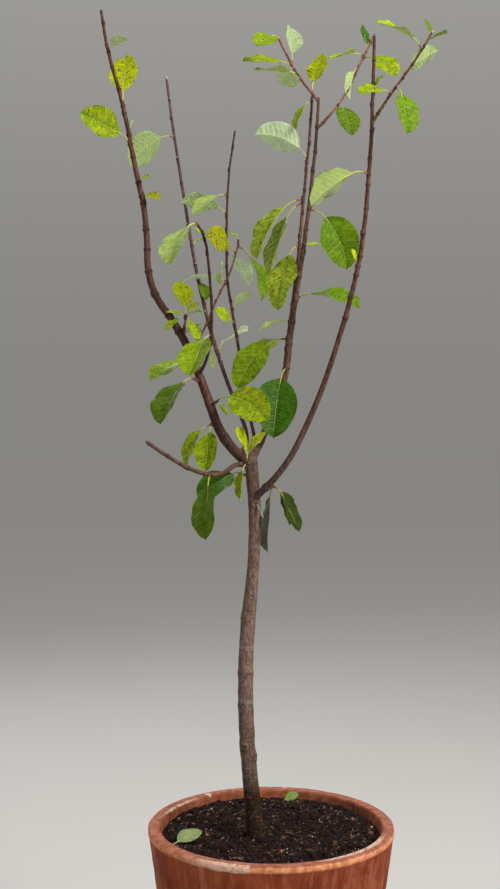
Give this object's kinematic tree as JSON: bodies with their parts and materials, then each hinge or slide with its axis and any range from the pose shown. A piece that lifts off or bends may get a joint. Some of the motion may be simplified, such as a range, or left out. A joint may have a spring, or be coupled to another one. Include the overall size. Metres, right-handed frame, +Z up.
{
  "type": "young potted fruit tree",
  "caption": "Young open-crowned fruit tree with a bare crooked trunk, upright pruned shoots and sparse autumn leaves, growing in a tapering terracotta pot.",
  "frame": {"origin": "middle of the pot's flat underside", "axes": "+Z up along the pot's axis; seen from the front, looking along +Y, +X is to the right"},
  "size_m": [0.5564, 0.448, 1.6734],
  "materials": {
    "terracotta": "matte unglazed fired clay, brushed and weathered, with pale lime stains",
    "compost": "damp crumbly potting compost with pale grit and fibres",
    "bark": "young smooth grey-brown bark with lenticels, purple-brown on the shoots",
    "foliage": "autumn leaves, green to yellow, spotted, paler and matte underneath"
  },
  "bodies": {
    "root": {"pot": "terracotta", "soil": "compost", "trunk": "bark", "left_bough": "bark", "low_left_bough": "bark", "right_bough": "bark", "back_bough": "bark", "rear_left_bough": "bark", "rear_middle_bough": "bark", "inner_left_bough": "bark", "left_crown": "foliage", "low_left_spray": "foliage", "right_crown": "foliage", "middle_right_crown": "foliage", "middle_left_crown": "foliage", "rear_left_crown": "foliage", "rear_middle_crown": "foliage", "inner_left_crown": "foliage", "left_high_spur": "foliage", "left_middle_spur": "foliage", "left_low_spur": "foliage", "fork_spur": "foliage", "knuckle_spur": "foliage", "rear_fork_spur": "foliage"}
  },
  "joints": []
}
